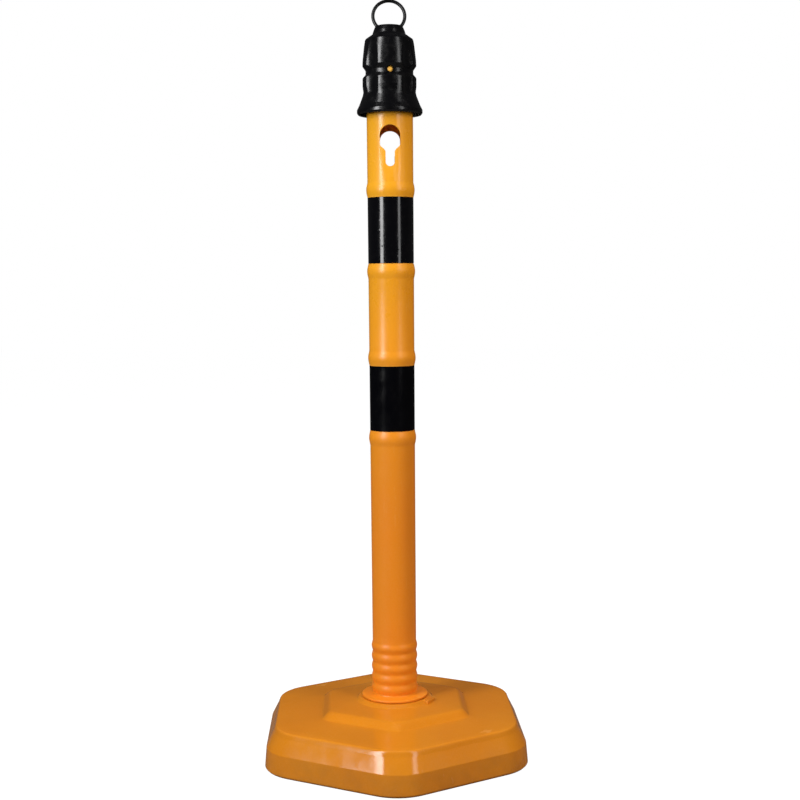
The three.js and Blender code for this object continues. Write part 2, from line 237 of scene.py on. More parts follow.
def span(node):
    """A CAD node's lowest and highest corners, in millimetres."""
    low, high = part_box(node)
    return low / MM, high / MM


def polar(radius, degrees):
    return radius * math.cos(math.radians(degrees)), radius * math.sin(math.radians(degrees))


def tube(radius, low, high, inner=0, segments=96, soft=0.8):
    """A round bar or pipe with softened ends."""
    outside = rounded([(inner, low, 0), (radius, low, soft), (radius, high, soft), (inner, high, 0)], 3)
    return lathe(outside, segments, closed=inner > 0)


def moved(bm, x=0, y=0, z=0, turn=0, about="Z"):
    bm.transform(Matrix.Translation((x, y, z)) @ Matrix.Rotation(math.radians(turn), 4, about))
    return bm


def sweep(sections):
    """A closed solid through a list of equal sections, each a list of points."""
    bm = bmesh.new()
    rings = [[bm.verts.new(point) for point in section] for section in sections]
    bridge(bm, rings, closed=False)
    bm.faces.new(rings[0][::-1])
    bm.faces.new(rings[-1])
    return bm


def arc_ridge(radius, width, low, high, centre, spread, steps=20):
    """A round-topped ridge bent round Z, between two heights, with ends that fade down."""
    sections = []
    for i in range(steps + 1):
        t = 2 * i / steps - 1
        rise = (high - low) * math.sqrt(max(0.02, 1 - t ** 6))
        angle = centre + t * spread / 2
        section = [(radius - width / 2, low - 2), (radius + width / 2, low - 2)]
        section += [
            (radius + width / 2 * math.cos(math.radians(a)), low + rise * math.sin(math.radians(a)))
            for a in range(0, 181, 20)
        ]
        sections.append([(*polar(r, angle), z) for r, z in section])
    return sweep(sections)


# ---------------------------------------------------------------------------
# base
# ---------------------------------------------------------------------------
COS30 = math.cos(math.radians(30))
BASE_RADIUS = span("base_shell")[1].x / COS30
BOSS_RADIUS = 50
BOSS_TOP = 77.2
PLATEAU_TOP = 70
RIM_TOP = 56.5
WALL = 4
COLUMN_RADIUS = 35       # of the wall round the socket
SOCKET_RADIUS = 30.4
THROAT_RADIUS = 27.7
LEDGE = 64               # height of the ledge that holds the post's lugs down
LUG_COUNT = 3
LUG_SPREAD = 30
UNLOCK_TURN = 60
PAD_DIRECTION = -25      # of the pad and its ridges on the boss, to the right of the post

plug_low, plug_high = span("fill_plug")
FILLER_Y = (plug_low.y + plug_high.y) / 2
FILLER_TOP = 61.5
FILLER_HOLE = 19.3


def hexagon_radius(degrees, circumradius, corner_radius):
    """How far a round-cornered hexagon, one corner to the front, reaches in a direction."""
    off = abs((degrees + 90 + 30) % 60 - 30)
    delta = math.radians(off)
    centre = circumradius - corner_radius / COS30
    tangent = math.atan2(corner_radius / 2, centre + corner_radius * COS30)
    if delta <= tangent:
        across = (centre * math.sin(delta)) ** 2
        return centre * math.cos(delta) + math.sqrt(max(0, corner_radius ** 2 - across))
    return circumradius * COS30 / math.cos(math.radians(30) - delta)


def hexagon_directions(steps=16):
    """Directions all round, closer together near the hexagon's corners."""
    directions = []
    for corner in range(6):
        for step in range(-steps, steps):
            t = step / steps
            directions.append(-90 + corner * 60 + math.copysign(30 * abs(t) ** 1.5, t))
    return directions


def hexagon_loft(levels):
    """A closed solid through (circumradius, corner radius, height) levels."""
    bm = bmesh.new()
    directions = hexagon_directions()
    rings = [[bm.verts.new((0, 0, levels[0][2]))]]
    for circumradius, corner_radius, height in levels:
        outline = [polar(hexagon_radius(d, circumradius, corner_radius), d) for d in directions]
        rings.append([bm.verts.new((x, y, height)) for x, y in outline])
    rings.append([bm.verts.new((0, 0, levels[-1][2]))])
    bridge(bm, rings, closed=False)
    return bm


def spread_levels(levels, longest=7):
    """Adds levels between those that are far apart."""
    out = [levels[0]]
    for level in levels[1:]:
        previous = Vector(out[-1])
        pieces = max(1, math.ceil((Vector(level) - previous).length / longest))
        out += [tuple(previous.lerp(Vector(level), i / pieces)) for i in range(1, pieces + 1)]
    return out


def round_level(radius, height, soft):
    """A level where the hexagon's corners have grown into a circle."""
    return (radius / COS30, radius, height, soft)


def base_outside():
    """From the floor up. Each level is circumradius, corner radius, height and rounding."""
    r = BASE_RADIUS
    levels = rounded([
        (60, 18, 0, 0),
        (r - 3, 60, 0, 2.2),
        (r, 60, 3, 2.5),
        (r - 2.6, 60, 30, 3.5),
        (r - 14, 60, RIM_TOP - 6.5, 3),
        (r - 17, 60, RIM_TOP + 0.8, 5),
        (r - 30, 52, RIM_TOP + 1.6, 8),
        (117.5, 18, 60.6, 8),
        (107, 14, PLATEAU_TOP - 0.2, 9),
        round_level(BOSS_RADIUS + 4.5, PLATEAU_TOP + 2.4, 2.5),
        round_level(BOSS_RADIUS, BOSS_TOP - 0.2, 1.2),
        round_level(20, BOSS_TOP, 0),
    ])
    return hexagon_loft(spread_levels(levels))


def base_cavity():
    r = BASE_RADIUS - WALL / COS30
    levels = rounded([
        (60, 18, WALL, 0),
        (r - 1, 56, WALL, 3),
        (r - 3, 56, 30, 3),
        (r - 15, 48, RIM_TOP - WALL - 6, 4),
        (r - 22, 46, RIM_TOP - WALL, 4),
        (111, 12, 57, 2),
        (103, 10, PLATEAU_TOP - WALL, 2),
        round_level(BOSS_RADIUS, PLATEAU_TOP - WALL + 2, 0),
    ], 2)
    return hexagon_loft(spread_levels(levels, 30))


def lug_direction(index):
    return -90 + index * 360 / LUG_COUNT


def sector(inner, outer, centre, spread, low, high, steps=10):
    """Part of a flat ring, centred on a direction in degrees."""
    start, end = centre - spread / 2, centre + spread / 2
    outline = arc(0, 0, outer, start, end, steps) + arc(0, 0, inner, end, start, steps)
    return extrude_outline(outline, low, high)


def helix(radius, pitch, low, turns, section, steps=48, fade=0.12):
    """A closed ridge wound round Z. The section is (outward, upward) points and fades at both ends."""
    sections = []
    count = int(turns * steps)
    for i in range(count + 1):
        share = i / count
        grow = min(1, share / fade, (1 - share) / fade)
        angle = 360 * i / steps
        height = low + pitch * i / steps
        sections.append([(*polar(radius + out * max(0.05, grow), angle), height + up) for out, up in section])
    return sweep(sections)


def build_base():
    body = boolean(base_outside(), [base_cavity()])
    boss = rounded([(0, 44, 0), (27, 44, 1), (26, FILLER_TOP, 1.6), (0, FILLER_TOP, 0)])
    skirt = rounded([(0, 46, 0), (29.5, 50, 1), (26, 58.2, 3), (25, 58.4, 1), (0, 58.4, 0)])
    additions = [
        tube(COLUMN_RADIUS, 1, PLATEAU_TOP, 20),
        moved(lathe(boss, 96, closed=False), y=FILLER_Y),
        moved(lathe(skirt, 96, closed=False), y=FILLER_Y),
        sector(47, 57, PAD_DIRECTION, 27, PLATEAU_TOP - 1, BOSS_TOP - 0.6),
    ]
    for i in range(3):
        additions.append(arc_ridge(49.4 + 2.8 * i, 2, BOSS_TOP - 0.8, 77.9, PAD_DIRECTION, 22))
    body = boolean(body, additions, "UNION", hollow=True)
    cuts = [
        tube(SOCKET_RADIUS, -5, LEDGE, soft=0),
        tube(THROAT_RADIUS, LEDGE - 2, BOSS_TOP + 5, soft=0),
        moved(tube(FILLER_HOLE, 30, FILLER_TOP + 5, soft=0), y=FILLER_Y),
    ]
    for i in range(LUG_COUNT):
        centre = lug_direction(i) + UNLOCK_TURN
        heights = (LEDGE - 2, BOSS_TOP + 5)
        cuts.append(sector(THROAT_RADIUS - 4, SOCKET_RADIUS, centre, LUG_SPREAD + 6, *heights))
    body = boolean(body, cuts, hollow=True)
    return new_piece("base_moulding", body, 38)


# ---------------------------------------------------------------------------
# sand in the base
# ---------------------------------------------------------------------------
def build_sand():
    sand_low, sand_high = span("sand_ballast")
    r = sand_high.x / COS30
    levels = rounded([
        (r - 1, 56, sand_low.z, 1),
        (r, 56, sand_low.z + 3, 1),
        (r - 1.5, 56, 30, 2),
        (r - 7, 50, sand_high.z - 2, 6),
        (45, 40 * COS30, sand_high.z - 3, 0),
    ])
    body = hexagon_loft(spread_levels(levels, 6))
    for vert in body.verts:
        if vert.co.z > sand_low.z + 12:
            vert.co.z += 1.6 * noise.fractal(vert.co * 0.05, 0.6, 2.1, 4) - 1.2
    body = boolean(body, [tube(COLUMN_RADIUS + 0.4, 0, 60, soft=0)])
    return new_piece("sand_fill", body, 50)


# ---------------------------------------------------------------------------
# filler plug and its seal
# ---------------------------------------------------------------------------
def build_plug():
    head = plug_high.z - 12.5
    shank = 17.7
    profile = rounded([
        (0, head - 1, 0),
        (15.6, head - 1, 1),
        (15.6, head - 17.4, 1),
        (shank - 1.2, head - 18, 0.8),
        (shank, head - 16.4, 0.8),
        (shank, head, 0.5),
        (23.6, head, 0.8),
        (24.6, head + 1.2, 0.8),
        (24.4, head + 4.6, 1.6),
        (22, head + 5.4, 1.5),
        (17, head + 4.6, 1.5),
        (0, head + 4.6, 0),
    ])
    body = lathe(profile, 144, closed=False)
    for vert in body.verts:
        radius = math.hypot(vert.co.x, vert.co.y)
        if radius > 23 and vert.co.z > head + 0.6:
            angle = math.atan2(vert.co.y, vert.co.x)
            pull = 1 - 0.022 * max(0, math.cos(24 * angle)) ** 2
            vert.co.x *= pull
            vert.co.y *= pull
    grip_top = plug_high.z - head
    grip = extrude_outline(rounded_slot(19, 3.5), 3.4, grip_top)
    for vert in grip.verts:
        if vert.co.z > 5:
            vert.co.y *= 0.82
            vert.co.x *= 0.97
    soften(grip, 0.9, 40, 3)
    moved(grip, z=head)
    web = extrude_outline(rounded_slot(3.2, 12), 3.4, grip_top - 3.5)
    soften(web, 0.8, 40, 2)
    moved(web, z=head)
    thread = helix(shank - 0.3, 4, head - 15.2, 2.9, [(0, -1), (1.55, -0.3), (1.55, 0.3), (0, 1)])
    body = boolean(body, [grip, web], "UNION")
    piece_bm = joined(body, thread)
    return new_piece("filler_plug", moved(piece_bm, y=FILLER_Y), 35)


def rounded_slot(half_length, half_width, steps=8):
    """An outline with round corners, long along X or along Y."""
    radius = min(half_length, half_width) * 0.95
    x, y = half_length - radius, half_width - radius
    outline = []
    for corner, (cx, cy) in enumerate([(x, y), (-x, y), (-x, -y), (x, -y)]):
        outline += arc(cx, cy, radius, 90 * corner, 90 * corner + 90, steps)
    return outline


def build_seal():
    low, high = span("fill_plug_seal")
    middle = (low.z + high.z) / 2
    half = (high.z - low.z) / 2
    section = []
    for step in range(24):
        angle = TAU * step / 24
        flat = math.copysign(abs(math.sin(angle)) ** 0.8, math.sin(angle))
        section.append((21.3 + 2.25 * math.cos(angle), middle + half * flat))
    return new_piece("plug_seal_ring", moved(lathe(section, 120), y=FILLER_Y), 60)


# ---------------------------------------------------------------------------
# post tube
# ---------------------------------------------------------------------------
post_low, post_high = span("post_tube")
band_low_span = [corner.z for corner in span("band_lower")]
band_high_span = [corner.z for corner in span("band_upper")]
FOOT_RADIUS, FOOT_HEIGHT = 30.8, 160
HEAD_RADIUS, HEAD_HEIGHT = 31.8, 860
SHOULDER = 899
NECK_RADIUS = 29.5
SPIGOT_RADIUS = 27.1
TUBE_WALL = 2.6
BAND_RECESS = 1.05
FLANGE_RADIUS = post_high.x
RIDGE_COUNT, RIDGE_LOWEST, RIDGE_PITCH = 5, 90.5, 14.7
RIDGE_CREST, RIDGE_VALLEY = 32.3, 30.75
BULGE_HALF, BULGE_RISE = 10.5, 1.7
KEYHOLE_SLOPE = -0.037   # rise over run, down towards the back
KEYHOLE_TURN = -1.4      # degrees about Z


def tube_radius(height):
    share = (height - FOOT_HEIGHT) / (HEAD_HEIGHT - FOOT_HEIGHT)
    return FOOT_RADIUS + (HEAD_RADIUS - FOOT_RADIUS) * min(1, max(0, share))


def corrugations():
    """The bending section: round crests with narrower valleys between them."""
    points = []
    steps = 14
    for i in range(RIDGE_COUNT * steps + 1):
        t = i / steps
        crest = 0.5 - 0.5 * math.cos(TAU * t)
        height = RIDGE_LOWEST + (t - 0.5) * RIDGE_PITCH
        points.append((RIDGE_VALLEY + (RIDGE_CREST - RIDGE_VALLEY) * crest ** 0.75, height))
    return points


def bulge(middle, steps=18):
    points = []
    for i in range(steps + 1):
        t = 2 * i / steps - 1
        rise = BULGE_RISE * math.cos(t * math.pi / 2) ** 1.2 if abs(t) < 1 else 0
        points.append((tube_radius(middle) + rise, middle + t * BULGE_HALF))
    return points


def recess(low, high):
    gap = 0.3
    inner_low, inner_high = tube_radius(low) - BAND_RECESS, tube_radius(high) - BAND_RECESS
    return [(inner_low, low - gap), (inner_high, high + gap)]


def post_profile():
    flange = BOSS_TOP + 0.3
    spigot = rounded([
        (SPIGOT_RADIUS - TUBE_WALL, post_low.z, 0),
        (SPIGOT_RADIUS - 1, post_low.z, 0.6),
        (SPIGOT_RADIUS, post_low.z + 2, 1),
        (SPIGOT_RADIUS, flange, 0.3),
        (FLANGE_RADIUS - 0.9, flange, 0.3),
        (FLANGE_RADIUS, flange + 0.9, 0.5),
        (FLANGE_RADIUS - 0.2, flange + 3.1, 0.9),
        (FLANGE_RADIUS - 4, flange + 3.6, 2),
        (RIDGE_VALLEY + 0.6, flange + 4.4, 1.4),
        (RIDGE_VALLEY, RIDGE_LOWEST - RIDGE_PITCH * 0.5, 0),
    ])
    outside = spigot[:-1] + corrugations() + [(FOOT_RADIUS, FOOT_HEIGHT + 6)]
    outside += bulge(band_low_span[0] - BULGE_HALF - 0.5)
    outside += recess(*band_low_span)
    outside += bulge(band_low_span[1] + BULGE_HALF)
    outside += bulge(band_high_span[0] - BULGE_HALF - 0.5)
    outside += recess(*band_high_span)
    outside += bulge(band_high_span[1] + BULGE_HALF)
    outside += [(HEAD_RADIUS, HEAD_HEIGHT)]
    outside += rounded([
        (HEAD_RADIUS, HEAD_HEIGHT + 10, 0),
        (HEAD_RADIUS, SHOULDER - 2, 1.2),
        (NECK_RADIUS, SHOULDER, 0.8),
        (NECK_RADIUS, post_high.z - 0.8, 0.7),
        (NECK_RADIUS - TUBE_WALL, post_high.z, 0),
    ])
    inside = [
        (NECK_RADIUS - TUBE_WALL, SHOULDER - 3),
        (HEAD_RADIUS - TUBE_WALL, SHOULDER - 6),
        (HEAD_RADIUS - TUBE_WALL, HEAD_HEIGHT),
        (tube_radius(band_high_span[1]) - BAND_RECESS - TUBE_WALL, band_high_span[1] + 6),
        (FOOT_RADIUS - TUBE_WALL, FOOT_HEIGHT),
        (SPIGOT_RADIUS - TUBE_WALL, BOSS_TOP),
    ]
    return outside + inside


def keyhole_outline():
    """The opening through both walls: a round head with a slot below it. X across, Z up."""
    head, neck, slot = 13.9, 842, 6.2
    head_top, slot_bottom = 873, 817.2
    outline = [(head, neck + 4.6)]
    outline += arc(0, head_top - head, head, 0, 180, 40)
    shoulder = [(head, neck + 4.6), (head - 1.3, neck + 2.4), (slot + 2.2, neck - 1.4), (slot, neck - 4.4)]
    outline += [(-x, z) for x, z in shoulder]
    outline += arc(0, slot_bottom + slot, slot, 180, 360, 20)
    outline += shoulder[:0:-1]
    return outline


def build_post():
    body = lathe(post_profile(), 144)
    keyhole = extrude_outline(keyhole_outline(), -45, 45)
    # stood up, so that the outline's second axis is Z, then turned and sloped a little
    keyhole.transform(Matrix.Rotation(math.radians(90), 4, "X"))
    slope = Matrix.Identity(4)
    slope[2][1], slope[2][3] = KEYHOLE_SLOPE, KEYHOLE_SLOPE * 31.3
    keyhole.transform(Matrix.Rotation(math.radians(KEYHOLE_TURN), 4, "Z") @ slope)
    button_hole = pin_along_y(4.5, -45, 0, BUTTON_Z)
    lugs = []
    for i in range(LUG_COUNT):
        heights = (LEDGE - 8.6, LEDGE - 0.6)
        lug = sector(SPIGOT_RADIUS - 1, SOCKET_RADIUS - 0.6, lug_direction(i), LUG_SPREAD, *heights)
        lugs.append(soften(lug, 0.5, 50, 2))
    body = boolean(body, lugs, "UNION")
    body = boolean(body, [keyhole, button_hole])

    def on_keyhole(edge):
        middle = (edge.verts[0].co + edge.verts[1].co) / 2
        reach = math.hypot(middle.x, middle.y)
        on_skin = reach > 30.5 or reach < HEAD_RADIUS - TUBE_WALL + 0.4
        return 810 < middle.z < 880 and abs(middle.x) < 15 and on_skin

    soften(body, 0.45, 50, 2, on_keyhole)
    return new_piece("post_moulding", body, 38)


def pin_along_y(radius, front, back, height):
    pin = tube(radius, front, back, segments=48, soft=0)
    pin.transform(Matrix.Translation((0, 0, height)) @ Matrix.Rotation(math.radians(-90), 4, "X"))
    return pin


# ---------------------------------------------------------------------------
# black bands: a film laid round the tube, with its overlap at the back
# ---------------------------------------------------------------------------
def build_band(name, low, high):
    thickness = 0.7
    whole_turn = 360 + 24
    first_direction = 92
    steps = 160
    levels = rounded([(0.3, low, 0), (0, low + 0.3, 0), (0, high - 0.3, 0), (0.3, high, 0)])
    bm = bmesh.new()
    rings = []
    for inset, height in levels:
        inner, outer = [], []
        for i in range(steps + 1):
            turned = i / steps * whole_turn
            angle = first_direction + turned
            lift = 0.55 * min(1, max(0, (turned - 352) / 8))
            radius = tube_radius(height) - BAND_RECESS + 0.3 + lift
            skin = radius + (thickness - inset) * (0.75 if lift else 1)
            inner.append(bm.verts.new((*polar(radius, angle), height)))
            outer.append(bm.verts.new((*polar(skin, angle), height)))
        rings.append(outer + inner[::-1])
    bridge(bm, rings, closed=False)
    for ring in (rings[0], rings[-1]):
        count = len(ring)
        for i in range(count // 2 - 1):
            bm.faces.new((ring[i], ring[i + 1], ring[count - 2 - i], ring[count - 1 - i]))
    return new_piece(name, bm, 40)


# ---------------------------------------------------------------------------
# lock button and its hairpin spring
# ---------------------------------------------------------------------------
button_low, button_high = span("snap_button")
BUTTON_Z = (button_low.z + button_high.z) / 2
BUTTON_RADIUS = 4.2
BUTTON_FLANGE = 6.5


def build_button():
    reach = button_high.y - button_low.y
    profile = rounded([
        (0, 0, 0),
        (BUTTON_RADIUS * 0.55, 0.15, 1.5),
        (BUTTON_RADIUS, 1.3, 1.3),
        (BUTTON_RADIUS, reach - 1.6, 0.4),
        (BUTTON_FLANGE, reach - 1.6, 0.3),
        (BUTTON_FLANGE, reach, 0.5),
        (0, reach, 0),
    ], 6)
    body = lathe(profile, 72, closed=False)
    turn = Matrix.Rotation(math.radians(-90), 4, "X")
    body.transform(Matrix.Translation((0, button_low.y, BUTTON_Z)) @ turn)
    return new_piece("lock_button", body, 40)


def build_spring():
    low, high = span("button_spring")
    thickness = 0.8
    bend = (high.y - low.y) / 2
    middle = (high.y + low.y) / 2
    bend_z = low.z + bend
    outer = [(low.y, high.z)] + arc(middle, bend_z, bend, 180, 360, 40) + [(high.y, high.z)]
    inner = [(high.y - thickness, high.z)] + arc(middle, bend_z, bend - thickness, 360, 180, 40)
    inner.append((low.y + thickness, high.z))
    strip = extrude_outline(outer + inner, low.x, high.x)
    # the outline's axes become Y and Z, and its depth runs along X
    strip.transform(Matrix(((0, 0, 1, 0), (1, 0, 0, 0), (0, 1, 0, 0), (0, 0, 0, 1))))
    soften(strip, 0.25, 60, 2)
    return new_piece("hairpin_spring", strip, 40)


# ---------------------------------------------------------------------------
# cap
# ---------------------------------------------------------------------------
cap_low, cap_high = span("top_cap")
CAP_LOBES = 4
CAP_BORE = 29.9
CAP_MOUTH = 37.4
FLUTE_RADIUS = 23.6
FLUTE_FLOOR = 32.6       # a flute's deepest line, from the axis
FLUTE_BOTTOM = 903
FLUTE_FADE = 16          # height over which a flute gains its depth
FLUTE_SOFTNESS = 0.45    # of its two edges
RING_RADIUS = 21.8
RING_SECTION = 2.3
RING_PIVOT = 1001.7
RING_LEAN = 12


def cap_outside():
    """(radius, height, rounding) up the outside of the cap, from the skirt's lip to its crown."""
    return [
        (41.7, 889.4, 0),
        (43.2, cap_low.z, 0.8),
        (45, 891.4, 1.6),
        (45, 895.4, 2.2),
        (41.6, 902.2, 8),
        (36.9, 914.6, 6),
        (35.9, 919.4, 5),
        (36.9, 927.5, 6),
        (36.9, 938.2, 3.2),
        (32.7, 943.2, 2),
        (32.7, 948.6, 1.6),
        (36.9, 954.6, 2.6),
        (36.6, 962, 8),
        (34.4, 981.5, 8),
        (32.9, 990.2, 3.6),
        (22.9, 997.2, 3),
        (21.3, 1002.2, 6),
        (18.7, cap_high.z, 1.2),
        (0, cap_high.z, 0),
    ]


def smooth_step(value, start, end):
    t = min(1, max(0, (value - start) / (end - start)))
    return t * t * (3 - 2 * t)


def lobed(degrees, height, radius):
    """The cap's radius in a direction: the turned shape, hollowed by upright flutes."""
    pitch = 360 / CAP_LOBES
    off = math.radians((degrees + 90) % pitch - pitch / 2)
    middle = FLUTE_FLOOR + FLUTE_RADIUS
    inside = FLUTE_RADIUS ** 2 - (middle * math.sin(off)) ** 2
    if inside <= 0:
        return radius
    hollow = middle * math.cos(off) - math.sqrt(inside)
    hollow += 14 * (1 - smooth_step(height, FLUTE_BOTTOM, FLUTE_BOTTOM + FLUTE_FADE))
    gap = (hollow - radius) / FLUTE_SOFTNESS
    if gap > 20:
        return radius
    return radius - FLUTE_SOFTNESS * math.log1p(math.exp(-gap))


def build_cap():
    segments = 240
    outside = rounded(cap_outside(), 6)
    spread = spread_levels(outside[:-1], 2.5) + outside[-1:]
    inside = rounded([
        (0, 987, 0),
        (CAP_BORE, 987, 1.2),
        (CAP_BORE, 901.5, 0.8),
        (CAP_MOUTH, 901.5, 1.5),
        (41, 896.5, 2),
        (41.7, 889.4, 0),
    ])
    bm = bmesh.new()
    rings = []
    for i, (radius, height) in enumerate(inside[:-1] + spread):
        if radius < 1e-6:
            rings.append([bm.verts.new((0, 0, height))])
            continue
        shaped = i >= len(inside)
        ring = []
        for k in range(segments):
            degrees = 360 * k / segments
            reach = lobed(degrees, height, radius) if shaped else radius
            ring.append(bm.verts.new((*polar(reach, degrees), height)))
        rings.append(ring)
    bridge(bm, rings, closed=False)
    window = pin_along_y(BUTTON_RADIUS + 0.5, -50, -20, BUTTON_Z)
    body = boolean(bm, [ring_passage(), window])
    return new_piece("cap_moulding", body, 36)


def ring_passage():
    """The curved slot that holds the ring's lower part, wider upwards for the ring to rock."""
    half = RING_SECTION + 0.5
    centre = RING_PIVOT + RING_RADIUS
    sections = []
    for i in range(41):
        degrees = -90 + (i / 20 - 1) * 58
        height = centre + RING_RADIUS * math.sin(math.radians(degrees))
        swing = max(0, height - RING_PIVOT) * math.tan(math.radians(RING_LEAN))
        section = arc(0, swing, half, -90, 90, 10) + arc(0, -swing, half, 90, 270, 10)
        points = []
        for out, y in section:
            px, pz = polar(RING_RADIUS + out, degrees)
            points.append((px, y, centre + pz))
        sections.append(points)
    return sweep(sections)


def build_ring():
    bm = bmesh.new()
    sides, around = 28, 128
    lean = Matrix.Translation((0, 0, RING_PIVOT)) @ Matrix.Rotation(math.radians(-RING_LEAN), 4, "X")
    rings = []
    for i in range(around):
        degrees = 360 * i / around
        ring = []
        for k in range(sides):
            out, y = polar(RING_SECTION, 360 * k / sides)
            x, z = polar(RING_RADIUS + out, degrees)
            ring.append(bm.verts.new(lean @ Vector((x, y, z + RING_RADIUS))))
        rings.append(ring)
    bridge(bm, rings, closed=True)
    return new_piece("carry_ring", bm, 60)


# ---------------------------------------------------------------------------
# materials
# ---------------------------------------------------------------------------
def colour(red, green, blue):
    """A screen colour, 0 to 255, as the shader's linear one."""
    def linear(value):
        value /= 255
        return value / 12.92 if value <= 0.04045 else ((value + 0.055) / 1.055) ** 2.4
    return (linear(red), linear(green), linear(blue), 1)


class Shader:
    """A small builder of node materials: add() makes a node and links or sets its inputs."""

    def __init__(self, name):
        self.material = bpy.data.materials.new(name)
        self.material.use_nodes = True
        self.tree = self.material.node_tree
        self.surface = self.tree.nodes["Principled BSDF"]
        self.place = self.add("ShaderNodeTexCoord").outputs["Object"]

    def add(self, kind, inputs=None, **settings):
        node = self.tree.nodes.new(kind)
        for name, value in settings.items():
            setattr(node, name, value)
        for socket, value in (inputs or {}).items():
            self.feed(node.inputs[socket], value)
        return node

    def feed(self, socket, value):
        if isinstance(value, bpy.types.NodeSocket):
            self.tree.links.new(value, socket)
        else:
            socket.default_value = value

    def set(self, **inputs):
        for name, value in inputs.items():
            self.feed(self.surface.inputs[name.replace("_", " ")], value)

    def noise(self, scale, detail, stretch=(1, 1, 1)):
        """Noise at so many features a metre, from about 0.3 to 0.7."""
        mapping = self.add("ShaderNodeMapping", {"Vector": self.place, "Scale": stretch})
        inputs = {"Vector": mapping.outputs[0], "Scale": scale, "Detail": detail, "Distortion": 0}
        return self.add("ShaderNodeTexNoise", inputs).outputs["Fac"]

    def ramp(self, value, low, high, to_low=0.0, to_high=1.0):
        inputs = {"Value": value, "From Min": low, "From Max": high, "To Min": to_low, "To Max": to_high}
        return self.add("ShaderNodeMapRange", inputs).outputs[0]

    def math(self, operation, a, b):
        return self.add("ShaderNodeMath", {0: a, 1: b}, operation=operation).outputs[0]

    def times(self, a, b):
        return self.math("MULTIPLY", a, b)

    def mix(self, factor, a, b):
        node = self.add("ShaderNodeMix", data_type="RGBA", blend_type="MIX")
        self.feed(node.inputs[0], factor)
        self.feed(node.inputs[6], a)
        self.feed(node.inputs[7], b)
        return node.outputs[2]

    def height(self):
        return self.add("ShaderNodeSeparateXYZ", {0: self.place}).outputs[2]

    def edge(self):
        """1 on sharp outer edges, 0 elsewhere."""
        point = self.add("ShaderNodeNewGeometry").outputs["Pointiness"]
        return self.ramp(point, 0.515, 0.56)

    def bump(self, *layers):
        """Bump from (height, strength, depth in metres) layers, one over the other."""
        normal = None
        for value, strength, depth in layers:
            inputs = {"Height": value, "Strength": strength, "Distance": depth}
            if normal is not None:
                inputs["Normal"] = normal
            normal = self.add("ShaderNodeBump", inputs).outputs[0]
        self.set(Normal=normal)

    def scratches(self, scale, stretch, amount):
        """Sparse thin marks along one direction."""
        lines = self.noise(scale, 2, stretch)
        patches = self.noise(14, 3)
        thin = self.ramp(lines, 0.655, 0.69)
        return self.times(self.times(thin, self.ramp(patches, 0.5, 0.62)), amount)


def yellow_plastic(name, main, deep_tone_and_shade_colour, roughness, streaks, fade=None):
    """Coloured moulded polyethylene: cloudy colour, faint flow lines, fine texture and light wear.
    Between the two heights of fade, the colour goes from the deep one to the main one; this is painted shade,
    which makes the lower part darker and redder as if it got less light."""
    shader = Shader(name)
    cloud = shader.ramp(shader.noise(9, 5), 0.3, 0.7)
    flow = shader.ramp(shader.noise(30, 3, streaks), 0.35, 0.65)
    fine = shader.ramp(shader.noise(420, 3), 0.3, 0.7)
    tone_and_painted_shade = shader.math("ADD", shader.times(cloud, 0.6), shader.times(flow, 0.4))
    # painted shade: with fade, the colour follows height, from the deep colour low down to the main one
    # higher up, as if less light reached the lower part
    if fade:
        rise = shader.ramp(shader.height(), *fade)
        tone_and_painted_shade = shader.math("ADD", shader.times(rise, 0.8), shader.times(tone_and_painted_shade, 0.2))
    base = shader.mix(tone_and_painted_shade, deep_tone_and_shade_colour, main)
    base = shader.mix(shader.times(fine, 0.035), base, colour(255, 214, 150))
    marks = shader.scratches(260, (1, 1, 0.12), 0.35)
    base = shader.mix(shader.times(marks, 0.2), base, colour(250, 200, 120))
    dirt_height = shader.ramp(shader.height(), 0.05, 0.0)
    dirt = shader.times(dirt_height, shader.ramp(shader.noise(34, 6), 0.42, 0.66))
    base = shader.mix(shader.times(dirt, 0.22), base, colour(120, 84, 48))
    base = shader.mix(shader.times(shader.edge(), 0.25), base, colour(255, 190, 100))
    rough = shader.ramp(shader.noise(55, 5), 0.3, 0.7, roughness - 0.04, roughness + 0.04)
    rough = shader.math("ADD", rough, shader.times(marks, 0.2))
    if fade:
        rough = shader.math("ADD", rough, shader.ramp(shader.height(), fade[1], fade[0], 0, 0.14))
    rough = shader.math("ADD", rough, shader.times(dirt, 0.2))
    shader.set(Base_Color=base, Roughness=rough, IOR=1.5)
    waves = (shader.noise(26, 2), 0.25, 0.0012)
    grain = (shader.noise(900, 3), 0.12, 0.00012)
    shader.bump(waves, grain, (marks, 0.3, 0.0001))
    return shader.material


def black_plastic(name, main, roughness, texture=0.1):
    """Black moulded plastic: slight sink ripple, fine grain, dust and pale rubbed edges."""
    shader = Shader(name)
    dust = shader.ramp(shader.noise(120, 6), 0.5, 0.74)
    base = shader.mix(shader.times(dust, 0.012), main, colour(120, 116, 110))
    marks = shader.scratches(320, (1, 1, 0.2), 0.5)
    base = shader.mix(shader.times(marks, 0.08), base, colour(110, 108, 106))
    base = shader.mix(shader.times(shader.edge(), 0.05), base, colour(90, 90, 92))
    rough = shader.ramp(shader.noise(70, 5), 0.3, 0.7, roughness - 0.04, roughness + 0.06)
    rough = shader.math("ADD", rough, shader.times(dust, 0.12))
    rough = shader.math("ADD", rough, shader.times(marks, 0.3))
    shader.set(Base_Color=base, Roughness=rough, IOR=1.5)
    waves = (shader.noise(40, 2), 0.3, 0.0008)
    grain = (shader.noise(1100, 3), texture, 0.0001)
    shader.bump(waves, grain, (marks, 0.4, 0.0001))
    return shader.material


